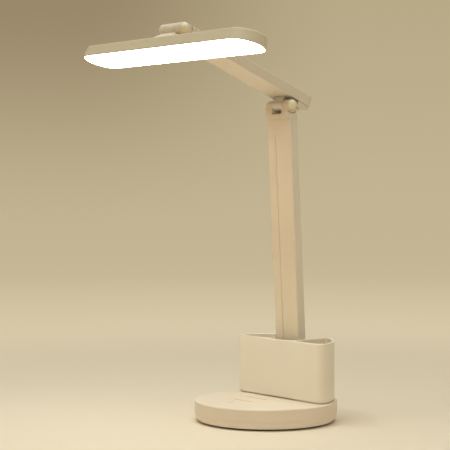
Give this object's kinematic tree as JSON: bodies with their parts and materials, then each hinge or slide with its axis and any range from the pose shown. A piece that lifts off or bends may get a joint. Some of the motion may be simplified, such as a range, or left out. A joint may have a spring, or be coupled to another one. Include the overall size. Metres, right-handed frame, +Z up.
{
  "type": "desk lamp with storage box",
  "caption": "Slim folding desk lamp with a long rounded head on a hinged arm and stem, and an open D-shaped storage box on the rear of its round base.",
  "frame": {"origin": "centre of the base's underside, on the surface that the lamp stands on", "axes": "+Z up, -Y towards the lamp's front, +X along the head's long side and the hinge axes"},
  "size_m": [0.2762, 0.2216, 0.4092],
  "materials": {
    "cream_plastic": "fine satin moulded plastic",
    "box_plastic": "fine satin moulded plastic",
    "cap_plastic": "smooth moulded plastic",
    "mark_grey": "printed inlay",
    "diffuser_white": "frosted translucent",
    "tray_white": "bright white",
    "washer_plastic": "smooth washer",
    "wire_white": "smooth jacket",
    "battery_wrap": "shrink wrap",
    "circuit_board": "solder mask",
    "chip_yellow": "phosphor",
    "grey_rubber": "matte",
    "steel": "plain",
    "screw_steel": "zinc plated",
    "board_aluminium": "white coated face"
  },
  "bodies": {
    "base": {"base_shell": "cream_plastic", "base_cover": "cream_plastic", "rubber_feet": "grey_rubber", "counterweight": "steel", "battery_pack": "battery_wrap", "control_board": "circuit_board", "board_screws": "screw_steel", "touch_marks": "mark_grey", "touch_pads": "grey_rubber", "charging_socket": "steel", "charge_board": "circuit_board", "charge_screws": "screw_steel", "base_screws": "screw_steel", "foot_fork": "cream_plastic", "foot_fork_screws": "screw_steel", "foot_pin": "steel", "foot_washers": "washer_plastic", "foot_caps": "cap_plastic"},
    "storage_box": {"storage_box": "box_plastic"},
    "stem": {"stem_foot": "cream_plastic", "stem_front_cover": "cream_plastic", "stem_rear_cover": "cream_plastic", "stem_spine": "steel", "stem_wire": "wire_white", "stem_screws": "screw_steel", "elbow_fork": "cream_plastic", "elbow_pin": "steel", "elbow_washers": "washer_plastic", "elbow_caps": "cap_plastic"},
    "arm": {"arm_knuckle": "cream_plastic", "arm_tail_pad": "cream_plastic", "arm_top_cover": "cream_plastic", "arm_bottom_cover": "cream_plastic", "arm_wire": "wire_white", "arm_screws": "screw_steel", "arm_fork": "cream_plastic", "head_pin": "steel", "head_washers": "washer_plastic", "head_caps": "cap_plastic"},
    "head": {"head_bracket": "cream_plastic", "bracket_screws": "screw_steel", "head_shell": "cream_plastic", "diffuser": "diffuser_white", "reflector_tray": "tray_white", "led_board": "board_aluminium", "leds": "chip_yellow"}
  },
  "joints": [
    {"name": "stem_tilt", "type": "hinge", "parent": "base", "child": "stem", "pos_m": [0, 0.0367, 0.0315], "axis": [-1, 0, 0], "range_deg": [-2, 20]},
    {"name": "elbow_fold", "type": "hinge", "parent": "stem", "child": "arm", "pos_m": [0, 0.02057, 0.33217], "axis": [-1, 0, 0], "range_deg": [-90, 25]},
    {"name": "head_tilt", "type": "hinge", "parent": "arm", "child": "head", "pos_m": [0, -0.12032, 0.40349], "axis": [-1, 0, 0], "range_deg": [-15, 100]},
    {"name": "box_lift", "type": "slide", "parent": "base", "child": "storage_box", "axis": [0, 0, 1], "range_m": [0, 0.06]}
  ]
}
